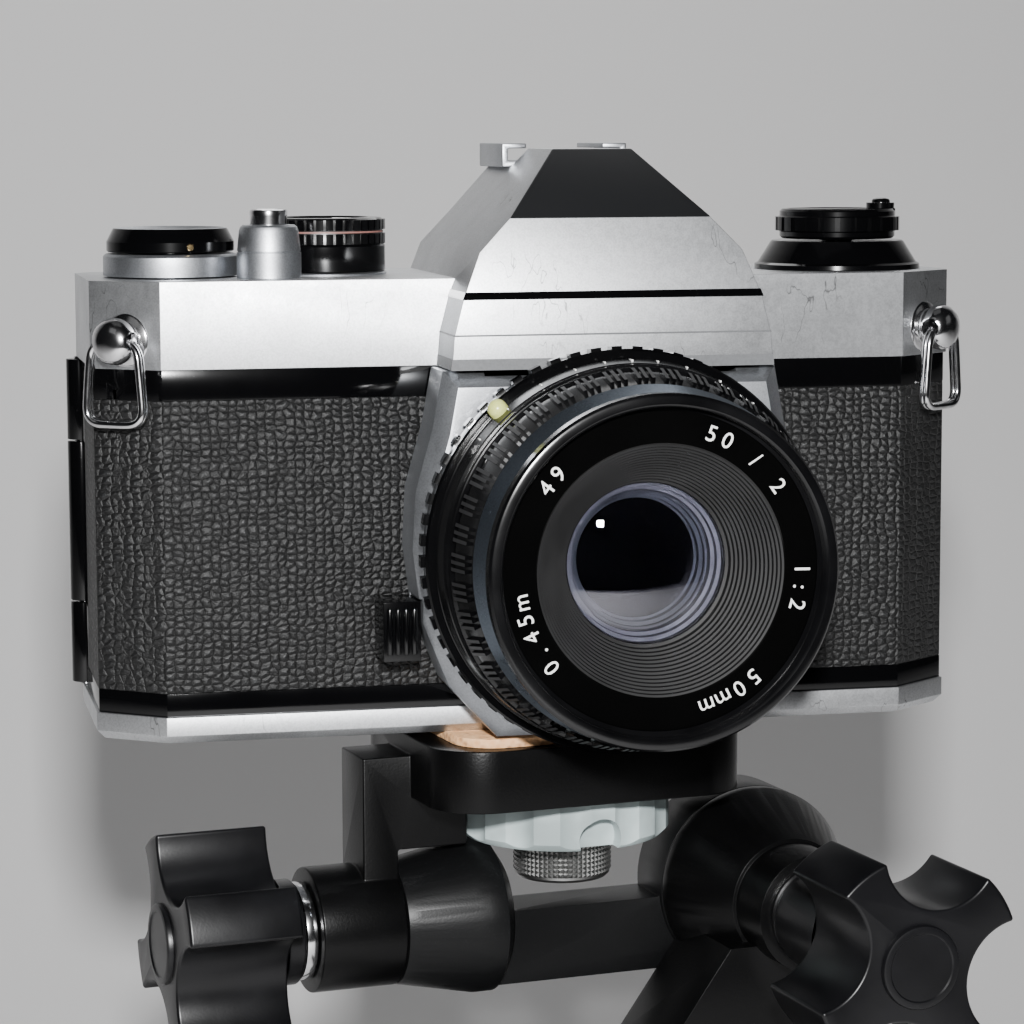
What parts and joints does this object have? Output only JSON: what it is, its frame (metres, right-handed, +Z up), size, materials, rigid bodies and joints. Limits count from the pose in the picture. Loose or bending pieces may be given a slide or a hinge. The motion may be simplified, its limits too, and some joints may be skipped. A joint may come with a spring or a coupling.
{
  "type": "film camera on tripod",
  "caption": "Single-lens reflex film camera with a lens, opening back and rewind crank, held on a three-way tripod head over a short folding table tripod.",
  "frame": {"origin": "on the floor under the head's pan axis and the camera's mounting screw, the mount stand_point", "axes": "+Z up along the pan axis, -Y the way the lens looks, +X to the right seen from the front"},
  "size_m": [0.1858, 0.163, 0.2416],
  "materials": {
    "satin_chrome": "satin",
    "polished_metal": "polished",
    "black_casting": "gloss black enamel",
    "covering": "coarse pebbled grain",
    "black_panel": "gloss",
    "black_control": "gloss black",
    "black_anodised": "satin black anodised",
    "polished_cone": "polished",
    "soft_black": "matt",
    "optical_glass": "polished and coated",
    "silvered_glass": "front silvered",
    "inner_black": "matt",
    "shutter_cloth": "rubberised cloth",
    "blackened_steel": "blackened",
    "head_casting": "textured black enamel",
    "grey_casting": "textured dark grey",
    "cork": "cork",
    "grey_plastic": "moulded",
    "knob_plastic": "moulded",
    "stand_metal": "satin black"
  },
  "bodies": {
    "tripod": {"crown": "stand_metal", "leg_pins": "polished_metal", "pan_base": "head_casting"},
    "leg_a": {"leg_1": "stand_metal", "foot_1": "soft_black"},
    "leg_b": {"leg_2": "stand_metal", "foot_2": "soft_black"},
    "leg_c": {"leg_3": "stand_metal", "foot_3": "soft_black"},
    "pan_arm": {"pan_housing": "head_casting", "side_shaft": "polished_metal"},
    "pan_lock": {"pan_knob": "knob_plastic"},
    "side_lock": {"side_knob": "knob_plastic"},
    "tilt_arm": {"tilt_housing": "grey_casting", "tilt_shaft": "polished_metal"},
    "tilt_lock": {"tilt_knob": "knob_plastic"},
    "camera": {"platform": "head_casting", "cork_pad": "cork", "body_casting": "black_casting", "front_coverings": "covering", "top_cover": "satin_chrome", "prism_panel": "black_panel", "base_plate": "satin_chrome", "battery_cap": "satin_chrome", "front_casting": "black_casting", "mount_ring": "polished_metal", "eyepiece": "soft_black", "viewfinder_optics": "optical_glass", "accessory_shoe": "satin_chrome", "counter_cap": "black_control", "release_collar": "satin_chrome", "rewind_collar": "black_casting", "strap_lugs": "polished_metal", "shutter_curtain": "shutter_cloth", "hinge_pin": "polished_metal", "lens_barrel": "black_anodised"},
    "mounting_screw": {"camera_screw": "polished_metal"},
    "screw_wheel": {"lock_wheel": "grey_plastic"},
    "door": {"back_door": "black_casting", "door_covering": "covering", "pressure_plate": "polished_metal"},
    "wind": {"wind_lever": "satin_chrome"},
    "spool": {"take_up_spool": "inner_black"},
    "film_sprocket": {"sprocket": "inner_black"},
    "release": {"shutter_button": "polished_metal"},
    "speed_dial": {"shutter_dial": "black_control"},
    "latch": {"door_latch": "polished_metal"},
    "rewind": {"rewind_knob": "black_control"},
    "crank": {"rewind_crank": "black_control"},
    "aperture": {"aperture_ring": "black_anodised"},
    "focus": {"focus_ring": "black_anodised"},
    "lens_front": {"front_barrel": "polished_cone", "name_ring": "black_anodised", "lens_elements": "optical_glass", "iris_blades": "blackened_steel"},
    "lens_lever": {"lens_release": "black_control"},
    "rewind_button": {"rewind_release": "polished_metal"},
    "ring_left": {"strap_ring_left": "polished_metal"},
    "ring_right": {"strap_ring_right": "polished_metal"},
    "mirror": {"reflex_mirror": "silvered_glass"}
  },
  "joints": [
    {"name": "leg_fold_a", "type": "hinge", "parent": "tripod", "child": "leg_a", "pos_m": [0, -0.019, 0.046], "axis": [1, 0, 0], "range_deg": [0, 60]},
    {"name": "leg_fold_b", "type": "hinge", "parent": "tripod", "child": "leg_b", "pos_m": [0.01645, 0.0095, 0.046], "axis": [-0.5, 0.866, 0], "range_deg": [0, 60]},
    {"name": "leg_fold_c", "type": "hinge", "parent": "tripod", "child": "leg_c", "pos_m": [-0.01645, 0.0095, 0.046], "axis": [-0.5, -0.866, 0], "range_deg": [0, 60]},
    {"name": "pan", "type": "hinge", "parent": "tripod", "child": "pan_arm", "pos_m": [0, 0, 0.07], "axis": [0, 0, 1], "continuous": true},
    {"name": "pan_lock_turn", "type": "hinge", "parent": "pan_arm", "child": "pan_lock", "pos_m": [-0.00469, 0.02963, 0.075], "axis": [-0.1564, 0.9877, 0], "continuous": true},
    {"name": "side_lock_turn", "type": "hinge", "parent": "pan_arm", "child": "side_lock", "pos_m": [0.03082, 0.00488, 0.12], "axis": [-0.1564, 0.9877, 0], "continuous": true},
    {"name": "side_tilt", "type": "hinge", "parent": "pan_arm", "child": "tilt_arm", "pos_m": [0.03082, 0.00488, 0.12], "axis": [-0.1564, 0.9877, 0], "range_deg": [-10, 90]},
    {"name": "tilt_lock_turn", "type": "hinge", "parent": "tilt_arm", "child": "tilt_lock", "pos_m": [0, 0, 0.1175], "axis": [0.9877, 0.1564, 0], "continuous": true},
    {"name": "tilt", "type": "hinge", "parent": "tilt_arm", "child": "camera", "pos_m": [0, 0, 0.1175], "axis": [0.9877, 0.1564, 0], "range_deg": [-90, 20]},
    {"name": "mounting_screw_turn", "type": "hinge", "parent": "camera", "child": "mounting_screw", "pos_m": [0, 0, 0.13], "axis": [0, 0, 1], "continuous": true},
    {"name": "screw_wheel_turn", "type": "hinge", "parent": "camera", "child": "screw_wheel", "pos_m": [0, 0, 0.134], "axis": [0, 0, 1], "continuous": true},
    {"name": "door_swing", "type": "hinge", "parent": "camera", "child": "door", "pos_m": [-0.0754, 0.0196, 0.18], "axis": [0, 0, 1], "range_deg": [0, 110]},
    {"name": "wind_turn", "type": "hinge", "parent": "camera", "child": "wind", "pos_m": [-0.0623, 0.002, 0.223], "axis": [0, 0, 1], "range_deg": [0, 160], "stiffness_Nm_per_rad": 0.01, "springref_deg": -28.65},
    {"name": "spool_turn", "type": "hinge", "parent": "camera", "child": "spool", "pos_m": [-0.056, 0.004, 0.18], "axis": [0, 0, 1], "range_deg": [0, 272]},
    {"name": "sprocket_turn", "type": "hinge", "parent": "camera", "child": "film_sprocket", "pos_m": [-0.0276, 0.013, 0.18], "axis": [0, 0, 1], "range_deg": [0, 360]},
    {"name": "release_press", "type": "slide", "parent": "camera", "child": "release", "axis": [0, 0, -1], "range_m": [0, 0.0022], "stiffness_N_per_m": 700, "springref_m": -0.002},
    {"name": "speed_turn", "type": "hinge", "parent": "camera", "child": "speed_dial", "pos_m": [-0.0374, 0.006, 0.225], "axis": [0, 0, 1], "range_deg": [-120, 144]},
    {"name": "latch_lift", "type": "slide", "parent": "camera", "child": "latch", "axis": [0, 0, 1], "range_m": [0, 0.008]},
    {"name": "rewind_turn", "type": "hinge", "parent": "latch", "child": "rewind", "pos_m": [0.047, 0.0025, 0.225], "axis": [0, 0, 1], "continuous": true},
    {"name": "crank_fold", "type": "hinge", "parent": "rewind", "child": "crank", "pos_m": [0.0406, 0.0025, 0.2301], "axis": [0, -1, 0], "range_deg": [0, 120]},
    {"name": "aperture_turn", "type": "hinge", "parent": "camera", "child": "aperture", "pos_m": [0.002, -0.03, 0.1802], "axis": [0, -1, 0], "range_deg": [0, 70]},
    {"name": "focus_turn", "type": "hinge", "parent": "camera", "child": "focus", "pos_m": [0.002, -0.03, 0.1802], "axis": [0, -1, 0], "range_deg": [0, 200]},
    {"name": "focus_travel", "type": "slide", "parent": "camera", "child": "lens_front", "axis": [0, -1, 0], "range_m": [0, 0.0065]},
    {"name": "lens_lever_press", "type": "slide", "parent": "camera", "child": "lens_lever", "axis": [0, 0, -1], "range_m": [0, 0.002], "stiffness_N_per_m": 500, "springref_m": -0.002},
    {"name": "rewind_button_press", "type": "slide", "parent": "camera", "child": "rewind_button", "axis": [0, 0, 1], "range_m": [0, 0.001], "stiffness_N_per_m": 800, "springref_m": -0.001},
    {"name": "ring_left_swing", "type": "hinge", "parent": "camera", "child": "ring_left", "pos_m": [-0.07267, -0.01395, 0.2124], "axis": [-0.7941, 0.6077, 0], "range_deg": [-8, 100]},
    {"name": "ring_right_swing", "type": "hinge", "parent": "camera", "child": "ring_right", "pos_m": [0.05917, -0.01395, 0.2124], "axis": [-0.7941, -0.6077, 0], "range_deg": [-8, 100]},
    {"name": "mirror_swing", "type": "hinge", "parent": "camera", "child": "mirror", "pos_m": [0.002, 0.009, 0.1975], "axis": [-1, 0, 0], "range_deg": [0, 45], "stiffness_Nm_per_rad": 0.002, "springref_deg": -45.84}
  ],
  "couplings": [
    {"joint": "spool_turn", "follows": "wind_turn", "ratio": 1.7},
    {"joint": "sprocket_turn", "follows": "wind_turn", "ratio": 2.25},
    {"joint": "focus_travel", "follows": "focus_turn", "m_per_rad": 0.00186}
  ]
}
